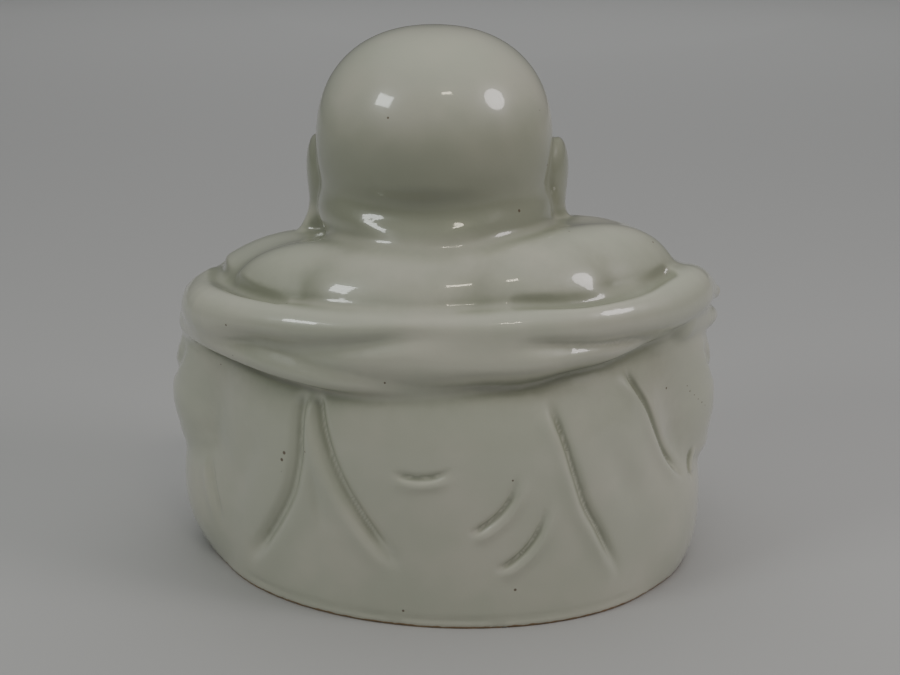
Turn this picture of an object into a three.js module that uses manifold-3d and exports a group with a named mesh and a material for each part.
// A seated budai, slip-cast in one piece and glazed white. The figure faces -Y, +Z is up, its left hand is
// on +X, and the origin is on the ground under the middle of its seat. Lengths are in millimetres.
import * as THREE from "three";
import { mergeVertices } from "three/addons/utils/BufferGeometryUtils.js";
import Module from "manifold-3d";

// The driving size. The pose, the masses and the carving are hundredths of it.
const FIGURE_HEIGHT = 250;
const HUNDREDTH = FIGURE_HEIGHT / 100;

// The glaze.
const GLAZE_COLOUR = 0xd9d8cc;
const GLAZE_ROUGHNESS = 0.12;

// How finely the form is sampled, in hundredths of the height, and how many triangles are kept of it.
const SAMPLE_STEP = 1.3;
const KEPT_TRIANGLES = 9000;

// How near a corner of the skin may come to the end of the cell edge that it lies on, as a share of the
// edge.
const CORNER_GAP = 0.08;

// When corners are drawn together: the thinnest triangle that may come of it, as its height over its
// longest side, the most that it may turn from the skin, as a cosine, and the length under which an edge
// always goes.
const THINNEST = 0.12;
const MOST_TURNED = 0.3;
const SHORT_EDGE = 0.8;

// How hard a new corner is held to the middle of its edge, and what a long edge costs, beside the distance
// moved.
const HOLD = 1e-3;
const LENGTH_COST = 1e-4;

// The box that holds the form, in hundredths. It starts below the ground, where the foot is cut off flat.
const FORM_LOW = [-56, -54, -6];
const FORM_FLOOR = -3;
const FORM_HIGH = [56, 40, 104];

const FAR = 1000;

// Further off than this a form is only known to be at least so far.
const CLOSE = 9;

// Clay tools. Each form is a function of a point that gives about the distance to its skin, below zero
// inside.

// The lesser of two distances, rounded over where they come within a reach of each other.
function fuse(a, b, reach) {
  const near = Math.max(reach - Math.abs(a - b), 0) / reach;
  return Math.min(a, b) - (near * near * reach) / 4;
}

// A ball of clay drawn out to three half sizes. Squareness over 2 fills out its profile, and turn is in
// degrees.
function lump(at, size, square = 2, turn = [0, 0, 0]) {
  const radians = turn.map((degrees) => THREE.MathUtils.degToRad(degrees));
  const m = new THREE.Matrix4().makeRotationFromEuler(new THREE.Euler(...radians, "ZYX")).elements;
  const [a, b, c] = size;
  const widest = Math.max(a, b, c);
  return (x, y, z) => {
    const px = x - at[0];
    const py = y - at[1];
    const pz = z - at[2];
    const middle = Math.hypot(px, py, pz);
    if (middle > widest + CLOSE) return middle - widest;
    const u = (m[0] * px + m[1] * py + m[2] * pz) / a;
    const v = (m[4] * px + m[5] * py + m[6] * pz) / b;
    const w = (m[8] * px + m[9] * py + m[10] * pz) / c;
    const ratio = (Math.hypot(u, v) ** square + Math.abs(w) ** square) ** (1 / square);
    if (ratio < 1e-6) return -Math.min(a, b, c);
    return ((ratio - 1) * Math.hypot(u, v, w)) / Math.hypot(u / a, v / b, w / c);
  };
}

// A roll of clay along a smooth line. Each knot is x, y, z and the roll's radius there.
function roll(knots, steps = 5) {
  const line = new THREE.CatmullRomCurve3(
    knots.map(([x, y, z]) => new THREE.Vector3(x, y, z)),
    false,
    "catmullrom",
  );
  const spans = knots.length - 1;
  const points = Array.from({ length: spans * steps + 1 }, (_, i) => {
    const span = Math.min(Math.floor(i / steps), spans - 1);
    const radius = THREE.MathUtils.lerp(knots[span][3], knots[span + 1][3], i / steps - span);
    return [...line.getPoint(i / steps / spans).toArray(), radius];
  });
  const box = new THREE.Box3();
  points.forEach(([x, y, z, radius]) => {
    const centre = new THREE.Vector3(x, y, z);
    box.union(new THREE.Box3().setFromCenterAndSize(centre, new THREE.Vector3().setScalar(2 * radius)));
  });
  return (x, y, z) => {
    const outside = box.distanceToPoint(new THREE.Vector3(x, y, z));
    if (outside > CLOSE) return outside;
    let nearest = Infinity;
    for (let i = 1; i < points.length; i += 1) {
      const [ax, ay, az, ar] = points[i - 1];
      const [bx, by, bz, br] = points[i];
      const dx = bx - ax;
      const dy = by - ay;
      const dz = bz - az;
      const share = ((x - ax) * dx + (y - ay) * dy + (z - az) * dz) / (dx * dx + dy * dy + dz * dz);
      const t = THREE.MathUtils.clamp(share, 0, 1);
      const gap = Math.hypot(x - ax - t * dx, y - ay - t * dy, z - az - t * dz) - ar - t * (br - ar);
      nearest = Math.min(nearest, gap);
    }
    return nearest;
  };
}

// A form with its mirror image on the figure's other side.
const pair = (form) => (x, y, z) => form(Math.abs(x), y, z);

// One form pressed on to the clay that is there, or cut out of it, blending over a reach.
const press = (mass, reach) => (distance, x, y, z) => fuse(distance, mass(x, y, z), reach);
const cut = (mass, reach) => (distance, x, y, z) => -fuse(-distance, mass(x, y, z), reach);

const SEAT_AND_TRUNK = [
  press(lump([0, 2, 10], [44, 32.5, 40], 4, [0, 0, -7]), 4),
  press(lump([34.5, -3, 13], [16.2, 17.5, 18], 2.3), 4),
  press(lump([-33.4, -1, 11.6], [16.1, 20, 18.5], 2.5), 4),
  press(lump([0, 0.8, 44.5], [41, 26.4, 19.5], 4, [0, 3.6, 0]), 6),
  press(lump([29, -1.5, 45.2], [15.4, 12, 14.2]), 5),
  press(lump([-28, -2, 49.2], [16.2, 12, 14.2]), 5),
  press(lump([-4.7, 21.1, 56], [20, 4.5, 8], 2, [31, 0, 4]), 7),
  press(lump([15.6, 17.8, 55.2], [17, 4.5, 8], 2, [30, 0, -21]), 7),
  press(lump([-26.4, 12.2, 57.3], [16, 4.5, 8], 2, [31, 0, 36]), 7),
  press(pair(lump([11.5, -17, 47.5], [12.5, 10, 8.5])), 4),
  press(lump([0, -13.5, 30.5], [27, 24.5, 20]), 3),
  cut(lump([0, -39, 30], [1.6, 3, 1.8]), 1.5),
];
const ARMS_AND_LEGS = [
  press(roll([[36.5, -1, 44, 12], [38.6, -3, 31, 13.6]]), 4),
  press(roll([[-36.5, -1, 46, 12], [-38.2, -3, 33, 13.2]]), 4),
  press(pair(roll([[38.5, -3, 27.5, 12.4], [35.5, -20, 26.5, 10], [30.5, -32, 25, 8]])), 3),
  press(pair(lump([31, -13.5, 39], [9, 10.5, 10])), 4),
  press(pair(roll([[18, 2, 11, 13], [36.4, -12, 10.5, 12.6]])), 4),
  press(pair(roll([[36, -15, 10, 12], [25, -31, 8.5, 9.6], [9, -37, 7.5, 8.2]])), 3),
  press(lump([0, -34, 7], [14, 10, 8]), 4),
  press(pair(lump([14.5, -29.5, 3], [8, 8, 6])), 3),
];
const ROBE_BAND = [
  press(
    roll([
      [18, -35.5, 15, 1.8], [22.5, -32, 24, 2.4], [26.5, -29, 33, 2.9], [33, -24, 40.5, 3.5],
      [39.4, -17, 44.6, 4.1], [42.8, -8, 47.2, 4.7], [43.4, 2, 49, 5.2], [39.6, 13.6, 50.4, 4.7],
      [28.8, 22.8, 51.6, 3.9], [15, 28.2, 52.4, 3.3], [0, 29.4, 52.8, 3], [-15, 28, 53.2, 3.3],
      [-28, 22.8, 53.3, 3.9], [-38, 13.8, 52.8, 4.7], [-44.8, 3, 52.9, 4.9], [-45, -8, 50.5, 4.7],
      [-40, -17, 46, 4.1], [-33, -24, 40.5, 3.5], [-26.5, -29, 33, 2.9], [-22.5, -32, 24, 2.4],
      [-18, -35.5, 15, 1.8],
    ]),
    2,
  ),
  press(
    roll([
      [45, -2, 45.6, 3.2], [37.4, 13.2, 48, 3.6], [26.6, 20.7, 48.1, 4.2], [15, 26.1, 48.2, 4.6],
      [0, 28.8, 47.8, 4.8], [-15, 27.5, 47.6, 4.7], [-26, 22.8, 48.9, 4.2], [-36, 14.8, 50.2, 3.5],
      [-45, -1, 49.2, 3.1],
    ]),
    1.2,
  ),
  press(
    roll([
      [41, 9, 48.6, 3.2], [28.6, 21.9, 50, 3.7], [15, 27.5, 50.2, 3.8], [0, 29.1, 50.3, 3.8],
      [-15, 27.7, 50.5, 3.8], [-28, 22.7, 51, 3.7], [-41, 8.6, 51.4, 3.2],
    ]),
    1,
  ),
  press(
    roll([
      [47.4, -2, 45, 2.2], [46, 5, 45.4, 2.2], [38.8, 15.8, 46, 2.2], [27, 24.4, 44.9, 2.2],
      [15, 29.2, 43.6, 1.7], [0, 30, 43.2, 1.1], [-14, 27.4, 43.8, 0.8], [-24, 21.6, 44.8, 0.5],
    ]),
    2,
  ),
  press(roll([[-42, 6, 53.6, 4], [-47.4, -1.5, 52.4, 2.8], [-50.4, -5, 51, 1.5]]), 1.2),
  press(roll([[-43, 6, 48.6, 4], [-48, -2, 47, 2.8], [-50, -5, 46.4, 1.7]]), 1),
  cut(roll([[42.6, -4, 55.6, 0.9], [40.2, 7, 56, 1.2], [34, 16.6, 55.8, 0.9], [26, 23, 55.2, 0.2]]), 1.8),
  cut(
    roll([
      [-14, 28.6, 56.8, 0.4], [-26, 24.4, 57, 0.7], [-35.4, 17.6, 57.4, 0.6], [-41, 8.6, 58, 0.5],
    ]),
    2,
  ),
];
const SLEEVES_AND_SASH = [
  press(
    pair(
      roll([
        [41, 9, 25, 1.4], [48.2, -1, 22.8, 1.9], [46, -15, 20.6, 1.9], [38.5, -26.4, 19.6, 1.6],
      ]),
    ),
    2,
  ),
  press(
    pair(
      roll([
        [30, -32, 33, 1.6], [37.4, -30, 30.4, 1.7], [39.4, -29.6, 23.4, 1.8], [34, -32, 18.6, 1.7],
        [25.6, -34, 19.6, 1.6],
        [22, -35, 25.6, 1.5], [24.6, -34, 31.6, 1.5], [30, -32, 33, 1.6],
      ]),
    ),
    1.2,
  ),
  press(
    roll([
      [-19, -35.2, 15.6, 1.6], [-9, -39, 13.2, 1.9], [0, -40, 12.6, 2], [9, -39, 13.2, 1.9],
      [19, -35.2, 15.6, 1.6],
    ]),
    1,
  ),
  press(
    roll([
      [-28, -36.5, 12, 1.2], [-15, -42, 8.4, 1.6], [0, -44, 6.8, 1.7], [15, -42, 8.4, 1.6],
      [28, -36.5, 12, 1.2],
    ]),
    2.4,
  ),
];
const HANDS = [
  press(pair(lump([29, -37, 21.4], [6, 6, 4], 2, [24, 0, 0])), 1.6),
  press(pair(lump([29.4, -38.4, 16.6], [7.6, 4, 6])), 1),
  press(pair(roll([[24.6, -39.4, 21, 1.9], [24, -42.8, 18, 1.9], [23.8, -43.8, 14.2, 1.7]])), 0.5),
  press(pair(roll([[28, -40, 21.4, 2], [27.9, -43.8, 18.2, 2], [27.8, -44.8, 13.8, 1.8]])), 0.5),
  press(pair(roll([[31.5, -39.6, 21.4, 2], [31.8, -43.2, 18.2, 1.9], [31.9, -44, 14, 1.7]])), 0.5),
  press(pair(roll([[34.6, -38, 20.8, 1.8], [35.5, -41, 18, 1.7], [35.7, -41.8, 14.6, 1.5]])), 0.5),
  press(pair(roll([[24.6, -35, 21.2, 2.4], [21.6, -37.4, 18.8, 2.2], [20.6, -38.8, 16, 1.9]])), 0.8),
];
const HEAD = [
  press(roll([[0.8, 0, 54, 18], [0.8, -1, 68, 17]]), 3),
  press(lump([1.3, -0.8, 79.4], [21.4, 20.8, 20.6], 2.28), 1),
  press(lump([1.2, -6, 70], [20.6, 17, 12], 2.2), 3),
  press(lump([1.2, -0.6, 67.2], [21.3, 21.2, 7], 2.3), 3.2),
  press(
    roll([
      [17.8, 1, 65.8, 3.8], [13.4, -11.6, 63.4, 3.8], [1, -17.4, 61.8, 3.6], [-11.4, -11.6, 63.4, 3.8],
      [-15.6, 1, 65.8, 3.8],
    ]),
    1.2,
  ),
  cut(
    roll([
      [-13, 17.8, 72, 1], [-6, 20.9, 71.2, 2.6], [2, 21.7, 70.8, 3.1], [11, 19.7, 71.2, 2.6],
      [18, 15, 72, 1],
    ]),
    2.2,
  ),
];
const EARS = [
  press(lump([23.2, -3, 73.8], [2, 4.8, 6.2], 2, [0, 0, 12]), 1),
  press(lump([22.6, -3.6, 67], [2.2, 3.6, 5.8], 2, [0, 0, 8]), 1.4),
  press(roll([[22.6, -3.4, 66, 2], [24.4, -3, 61.6, 2.4]]), 1.4),
  press(lump([-20.9, -3, 73.8], [2, 4.8, 6.2], 2, [0, 0, -12]), 1),
  press(lump([-20.3, -3.6, 67], [2.2, 3.6, 5.8], 2, [0, 0, -8]), 1.4),
  press(roll([[-20.3, -3.4, 66, 2], [-22.4, -3, 61.6, 2.4]]), 1.4),
];
const FACE_MIDDLE = 1.2;
const onFace = (mass) => (x, y, z) => mass(x - FACE_MIDDLE, y, z);
const FACE = [
  cut(onFace(pair(lump([8.2, -23.9, 79.6], [5.4, 3.8, 2.6]))), 3),
  press(onFace(pair(lump([10.6, -16.8, 70.8], [6.8, 6, 5.6]))), 2.6),
  press(onFace(pair(lump([8.4, -18, 79.2], [4.7, 2.8, 2.8], 2, [0, 0, 18]))), 0.8),
  press(onFace(pair(roll([[3.4, -20.9, 83.6, 0.9], [8, -19.6, 84.9, 1.2], [13, -16.3, 82.7, 0.8]]))), 2),
  press(onFace(roll([[0, -20.8, 82.6, 1.5], [0, -22.6, 78.4, 1.8], [0, -25.2, 74.2, 2.4]])), 2),
  press(onFace(pair(lump([2.9, -23.4, 73.4], [1.9, 2.2, 1.7]))), 0.8),
  press(onFace(pair(roll([[0, -23.6, 68.9, 1.1], [3.2, -23, 69, 1], [6.6, -21, 69.8, 0.6]]))), 0.6),
  press(onFace(pair(roll([[0, -23, 66.4, 1.3], [3, -22.2, 66.8, 1.1], [5.6, -20.8, 68, 0.6]]))), 0.6),
  press(onFace(lump([0, -18.6, 62.6], [5.4, 4.6, 3.6])), 2),
];
const MASSES = [
  ...SEAT_AND_TRUNK,
  ...ARMS_AND_LEGS,
  ...ROBE_BAND,
  ...SLEEVES_AND_SASH,
  ...HANDS,
  ...HEAD,
  ...EARS,
  ...FACE,
];

// The folds cut in the back of the robe, drawn on the robe unrolled about an upright line: degrees round
// from the middle of the back, towards the left hand, and height. Depth is what is cut, and lip what is
// raised on the side that is on the left of the line's direction.
const UNROLL_ABOUT_Y = -6;
const FOLDS = [
  {
    line: [
      [58, 48.9], [47.4, 49.3], [36.8, 49.2], [26.1, 49.6], [16.2, 50.6], [6.3, 52], [-3.4, 52.9],
      [-10.8, 53.6],
    ],
    wide: 1.7, depth: 0.9, lip: 0,
  },
  {
    line: [
      [-17.8, 50.9], [-25.4, 51], [-35.7, 50.5], [-45.6, 49.8], [-55.8, 49.2], [-71.7, 47.5],
    ],
    wide: 1.2, depth: 1, lip: 0,
  },
  {
    line: [
      [1, 45], [-8, 44.9], [-18.5, 44.8], [-30, 45], [-41, 45.8], [-50, 47],
    ],
    wide: 1.5, depth: 0.8, lip: 0,
  },
  {
    line: [
      [33, 41.6], [34.2, 37.5], [34.2, 32.8], [34.6, 27.9], [36.3, 22.5], [39.3, 17.9], [43.9, 12.7],
      [48.3, 8.4], [53, 4.4],
    ],
    wide: 1.6, depth: 1.2, lip: -0.3,
  },
  {
    line: [
      [30.4, 41.6], [29.4, 38.1], [27.5, 33.9], [24.6, 29.1], [21.1, 24.6], [17.2, 20.6], [13, 16.6],
      [9.2, 13.4], [5.5, 10],
    ],
    wide: 1.6, depth: 1.2, lip: 0.5,
  },
  { line: [[30, 28.7], [29.1, 23.8], [28, 19.5], [26.4, 15.2]], wide: 1.5, depth: 0.35, lip: 0 },
  {
    line: [
      [9.3, 28.8], [6.2, 28.3], [2, 28], [-2, 28.4], [-4.8, 29.2], [-7.4, 30.4],
    ],
    wide: 1.1, depth: 0.5, lip: 0,
  },
  {
    line: [
      [-21.6, 29.5], [-21.3, 26.8], [-19.9, 24], [-17, 21.3], [-13.4, 19.2], [-10.1, 17.9],
    ],
    wide: 1.1, depth: 0.5, lip: 0,
  },
  {
    line: [
      [-28.4, 23.8], [-28, 20.8], [-26.4, 17.5], [-23.6, 14.6], [-20.1, 12.4], [-16.2, 10.9],
    ],
    wide: 1.1, depth: 0.5, lip: 0,
  },
  {
    line: [
      [-30.4, 41.6], [-32, 37.5], [-33.6, 33.2], [-35, 29], [-36.6, 24.8], [-38.4, 20.9],
      [-41.4, 16.6], [-44.2, 12.2],
      [-46.6, 8.4], [-48.4, 4.6],
    ],
    wide: 1.4, depth: 0.8, lip: 0.5,
  },
  {
    line: [
      [-53.4, 44], [-55.2, 40.6], [-57.8, 36.6], [-59.8, 32.4], [-62.6, 27.9], [-66.2, 23.4],
      [-70.4, 19.8],
    ],
    wide: 1.4, depth: 0.9, lip: 0.6,
  },
];
const ROBE_TOP = 56;
const ROBE_ROUND = THREE.MathUtils.degToRad(97);
const FOLD_REACH = 6;

// Where the lip's crest lies beside the valley, and how wide the lip is, both as shares of the valley's
// width.
const LIP_AT = 2;
const LIP_WIDE = 1.6;

// How much the folds move the skin at a point: above zero cuts in.
function foldRelief(x, y, z) {
  const radius = Math.hypot(x, y - UNROLL_ABOUT_Y);
  const round = Math.atan2(x, y - UNROLL_ABOUT_Y);
  if (z > ROBE_TOP || z < FORM_FLOOR || Math.abs(round) > ROBE_ROUND) return 0;
  let cut = 0;
  FOLDS.forEach(({ line, wide, depth, lip }) => {
    let nearest = Infinity;
    let side = 1;
    for (let i = 1; i < line.length; i += 1) {
      const ax = (THREE.MathUtils.degToRad(line[i - 1][0]) - round) * radius;
      const bx = (THREE.MathUtils.degToRad(line[i][0]) - round) * radius;
      const az = line[i - 1][1] - z;
      const bz = line[i][1] - z;
      const dx = bx - ax;
      const dz = bz - az;
      const t = THREE.MathUtils.clamp(-(ax * dx + az * dz) / (dx * dx + dz * dz), 0, 1);
      const gap = Math.hypot(ax + t * dx, az + t * dz);
      if (gap < nearest) {
        nearest = gap;
        side = Math.sign(ax * dz - az * dx);
      }
    }
    cut += depth * Math.exp(-((nearest / wide) ** 2));
    const beside = (nearest * side * Math.sign(lip) - LIP_AT * wide) / (LIP_WIDE * wide);
    cut -= Math.abs(lip) * Math.exp(-(beside ** 2));
  });
  return cut;
}

// The whole form, in hundredths.
function form(x, y, z) {
  const distance = MASSES.reduce((sum, shape) => shape(sum, x, y, z), FAR);
  const carved = Math.abs(distance) < FOLD_REACH ? distance + foldRelief(x, y, z) : distance;
  return Math.max(carved, FORM_FLOOR - z);
}

// The form's skin as a closed mesh. Space is filled with the four-cornered cells between the corners and
// the middles of cubes, and each cell that the skin passes through gives one or two triangles.
function skinOf(field, low, high, step) {
  const counts = low.map((from, axis) => Math.ceil((high[axis] - from) / step));
  const [nx, ny, nz] = counts.map((count) => count + 1);
  const places = 2 * nx * ny * nz;
  const values = new Float64Array(places).fill(NaN);
  const index = (i, j, k, middle) => 2 * ((k * ny + j) * nx + i) + middle;
  const place = (id) => {
    const middle = id % 2;
    const cube = (id - middle) / 2;
    const i = cube % nx;
    const j = Math.floor(cube / nx) % ny;
    const k = Math.floor(cube / (nx * ny));
    return [i, j, k].map((n, axis) => low[axis] + (n + middle / 2) * step);
  };
  const valueAt = (id) => {
    if (Number.isNaN(values[id])) values[id] = field(...place(id)) || Number.EPSILON;
    return values[id];
  };
  const vertices = [];
  const triangles = [];
  const crossings = new Map();
  const crossing = (inner, outer) => {
    const key = Math.min(inner, outer) * places + Math.max(inner, outer);
    if (!crossings.has(key)) {
      const a = place(inner);
      const b = place(outer);
      const share = values[inner] / (values[inner] - values[outer]);
      const t = THREE.MathUtils.clamp(share, CORNER_GAP, 1 - CORNER_GAP);
      crossings.set(key, vertices.length);
      vertices.push(a.map((start, axis) => start + t * (b[axis] - start)));
    }
    return crossings.get(key);
  };
  const cell = (corners) => {
    const inside = corners.filter((id) => valueAt(id) < 0);
    const outside = corners.filter((id) => valueAt(id) >= 0);
    if (!inside.length || !outside.length) return;
    const made = [];
    if (inside.length === 2) {
      const [a, b] = inside;
      const [c, d] = outside;
      made.push([crossing(a, c), crossing(a, d), crossing(b, d)]);
      made.push([crossing(a, c), crossing(b, d), crossing(b, c)]);
    } else if (inside.length === 1) made.push(outside.map((id) => crossing(inside[0], id)));
    else made.push(inside.map((id) => crossing(id, outside[0])));
    const towards = new THREE.Vector3(...place(outside[0])).sub(new THREE.Vector3(...place(inside[0])));
    made.forEach((corner) => {
      const [p, q, r] = corner.map((id) => new THREE.Vector3(...vertices[id]));
      const normal = q.sub(p).cross(r.sub(p));
      triangles.push(normal.dot(towards) < 0 ? [corner[0], corner[2], corner[1]] : corner);
    });
  };
  const AXES = [[1, 0, 0], [0, 1, 0], [0, 0, 1]];
  for (let k = 1; k < nz - 1; k += 1)
    for (let j = 1; j < ny - 1; j += 1)
      for (let i = 1; i < nx - 1; i += 1) {
        const here = index(i, j, k, 1);
        if (Math.abs(valueAt(here)) > 2 * step) continue;
        AXES.forEach(([x, y, z], axis) => {
          const next = index(i + x, j + y, k + z, 1);
          const u = AXES[(axis + 1) % 3];
          const v = AXES[(axis + 2) % 3];
          const ring = [[0, 0], [1, 0], [1, 1], [0, 1]].map(([s, t]) =>
            index(i + x + s * u[0] + t * v[0], j + y + s * u[1] + t * v[1], k + z + s * u[2] + t * v[2], 0),
          );
          ring.forEach((corner, n) => cell([here, next, corner, ring[(n + 1) % 4]]));
        });
      }
  return { vertices, triangles };
}

// The mesh with its least telling edges drawn together to a point, until few enough triangles are left.
// Each corner carries the sum of the squared distances to the planes of the triangles that it stands for.
function thinned({ vertices, triangles }, kept) {
  const fans = vertices.map(() => new Set());
  const sums = vertices.map(() => new Float64Array(10));
  const facings = vertices.map(() => new THREE.Vector3());
  const stamps = vertices.map(() => 0);
  const normalOf = (p, q, r) => {
    const [ux, uy, uz] = [q[0] - p[0], q[1] - p[1], q[2] - p[2]];
    const [vx, vy, vz] = [r[0] - p[0], r[1] - p[1], r[2] - p[2]];
    return [uy * vz - uz * vy, uz * vx - ux * vz, ux * vy - uy * vx];
  };
  triangles.forEach((corners, face) => {
    const [p, q, r] = corners.map((id) => vertices[id]);
    const [a, b, c] = normalOf(p, q, r);
    const twice = Math.hypot(a, b, c) || Number.EPSILON;
    const d = -(a * p[0] + b * p[1] + c * p[2]);
    const plane = [a * a, a * b, a * c, a * d, b * b, b * c, b * d, c * c, c * d, d * d];
    corners.forEach((id) => {
      fans[id].add(face);
      facings[id].add(new THREE.Vector3(a, b, c));
      plane.forEach((term, n) => (sums[id][n] += term / twice));
    });
  });
  const neighbours = (id) => {
    const found = new Set();
    fans[id].forEach((face) => triangles[face].forEach((corner) => found.add(corner)));
    found.delete(id);
    return found;
  };

  // The point where the two corners' sum is least, and that sum.
  const drawnTogether = (p, q) => {
    const s = sums[p].map((term, n) => term + sums[q][n]);
    const middle = vertices[p].map((value, axis) => (value + vertices[q][axis]) / 2);
    const hold = HOLD * (s[0] + s[4] + s[7]) + Number.EPSILON;
    const matrix = new THREE.Matrix3().set(
      s[0] + hold, s[1], s[2],
      s[1], s[4] + hold, s[5],
      s[2], s[5], s[7] + hold,
    );
    const pull = [s[3], s[6], s[8]].map((term, axis) => hold * middle[axis] - term);
    const point = new THREE.Vector3(...pull).applyMatrix3(matrix.invert()).toArray();
    const [x, y, z] = point;
    const squares = s[0] * x * x + s[4] * y * y + s[7] * z * z + s[9];
    const products = s[1] * x * y + s[2] * x * z + s[5] * y * z + s[3] * x + s[6] * y + s[8] * z;
    const length = Math.hypot(...vertices[p].map((value, axis) => value - vertices[q][axis]));
    const cost = squares + 2 * products + LENGTH_COST * length ** 3;
    return { p, q, point, length, cost, marks: [stamps[p], stamps[q]] };
  };

  // The edges wait in a heap, the cheapest on top.
  const heap = [];
  const push = (edge) => {
    let at = heap.length;
    heap.push(edge);
    while (at > 0) {
      const above = (at - 1) >> 1;
      if (heap[above].cost <= edge.cost) break;
      heap[at] = heap[above];
      at = above;
    }
    heap[at] = edge;
  };
  const pop = () => {
    const top = heap[0];
    const last = heap.pop();
    let at = 0;
    while (2 * at + 1 < heap.length) {
      let below = 2 * at + 1;
      if (below + 1 < heap.length && heap[below + 1].cost < heap[below].cost) below += 1;
      if (last.cost <= heap[below].cost) break;
      heap[at] = heap[below];
      at = below;
    }
    if (heap.length) heap[at] = last;
    return top;
  };
  // Two corners may be drawn together where every triangle goes on facing the way that the skin
  // does there and none grows thin.
  const spoils = (p, q, point) => {
    const facing = facings[p].clone().add(facings[q]).normalize();
    return [p, q].some((id) =>
      [...fans[id]].some((face) => {
        const corners = triangles[face];
        if (corners.includes(p) && corners.includes(q)) return false;
        const places = corners.map((corner) => (corner === id ? point : vertices[corner]));
        const normal = new THREE.Vector3(...normalOf(...places));
        const twice = normal.length();
        const around = corners.reduce(
          (sum, corner) => sum.add(corner === id ? facing : facings[corner].clone().normalize()),
          new THREE.Vector3(),
        );
        const sides = places.map((from, n) =>
          Math.hypot(...from.map((value, axis) => value - places[(n + 1) % 3][axis])),
        );
        const turned = normal.dot(around) < MOST_TURNED * twice * around.length();
        return turned || twice < THINNEST * Math.max(...sides) ** 2;
      }),
    );
  };
  let left = triangles.length;
  let leftBefore = Infinity;
  while (left > kept) {
    if (!heap.length) {
      if (left === leftBefore) break;
      leftBefore = left;
      vertices.forEach((_, p) => neighbours(p).forEach((q) => p < q && push(drawnTogether(p, q))));
    }
    const { p, q, point, length, marks } = pop();
    if (stamps[p] !== marks[0] || stamps[q] !== marks[1]) continue;
    const besideQ = neighbours(q);
    const shared = [...neighbours(p)].filter((id) => besideQ.has(id));
    if (shared.length !== 2 || (length > SHORT_EDGE && spoils(p, q, point))) continue;
    fans[q].forEach((face) => {
      const corners = triangles[face];
      if (corners.includes(p)) {
        corners.forEach((id) => fans[id].delete(face));
        triangles[face] = null;
        left -= 1;
      } else {
        corners[corners.indexOf(q)] = p;
        fans[p].add(face);
      }
    });
    fans[q].clear();
    sums[q].forEach((term, n) => (sums[p][n] += term));
    facings[p].add(facings[q]);
    vertices[p] = point;
    stamps[q] = -1;
    stamps[p] += 1;
    neighbours(p).forEach((id) => push(drawnTogether(p, id)));
  }
  return { vertices, triangles: triangles.filter(Boolean) };
}

// Joining and cutting, on closed meshes.
const { Manifold, Mesh } = await manifoldTool();

async function manifoldTool() {
  const tool = await Module();
  tool.setup();
  return tool;
}

function solidOf({ vertices, triangles }) {
  const mesh = new Mesh({
    numProp: 3,
    vertProperties: Float32Array.from(vertices.flat()),
    triVerts: Uint32Array.from(triangles.flat()),
  });
  return new Manifold(mesh);
}

function boxSolid(low, high) {
  const sides = high.map((value, axis) => value - low[axis]);
  const geometry = new THREE.BoxGeometry(...sides);
  geometry.deleteAttribute("normal");
  geometry.deleteAttribute("uv");
  geometry.translate(...low.map((value, axis) => value + sides[axis] / 2));
  const welded = mergeVertices(geometry);
  const { position } = welded.attributes;
  const vertices = Array.from({ length: position.count }, (_, i) =>
    new THREE.Vector3().fromBufferAttribute(position, i).toArray(),
  );
  const flat = [...welded.index.array];
  const triangles = Array.from({ length: flat.length / 3 }, (_, i) => flat.slice(3 * i, 3 * i + 3));
  return solidOf({ vertices, triangles });
}

function geometryOf(solid) {
  const { vertProperties, triVerts, numProp } = solid.getMesh();
  const geometry = new THREE.BufferGeometry();
  const count = vertProperties.length / numProp;
  const places = Float32Array.from(
    { length: count * 3 },
    (_, i) => vertProperties[Math.floor(i / 3) * numProp + (i % 3)],
  );
  geometry.setAttribute("position", new THREE.BufferAttribute(places, 3));
  geometry.setIndex([...triVerts]);
  geometry.computeVertexNormals();
  return geometry;
}

// The figure, cut off flat at the ground.
const skin = thinned(skinOf(form, FORM_LOW, FORM_HIGH, SAMPLE_STEP), KEPT_TRIANGLES);
const underground = boxSolid(
  FORM_LOW.map((value) => value - 1),
  [FORM_HIGH[0] + 1, FORM_HIGH[1] + 1, 0],
);
const standing = solidOf(skin).subtract(underground);

const glaze = new THREE.MeshStandardMaterial({ color: GLAZE_COLOUR, roughness: GLAZE_ROUGHNESS });
const figure = new THREE.Mesh(geometryOf(standing), glaze);
figure.name = "budai_figure";
figure.scale.setScalar(HUNDREDTH);

const group = new THREE.Group();
group.add(figure);

export default group;
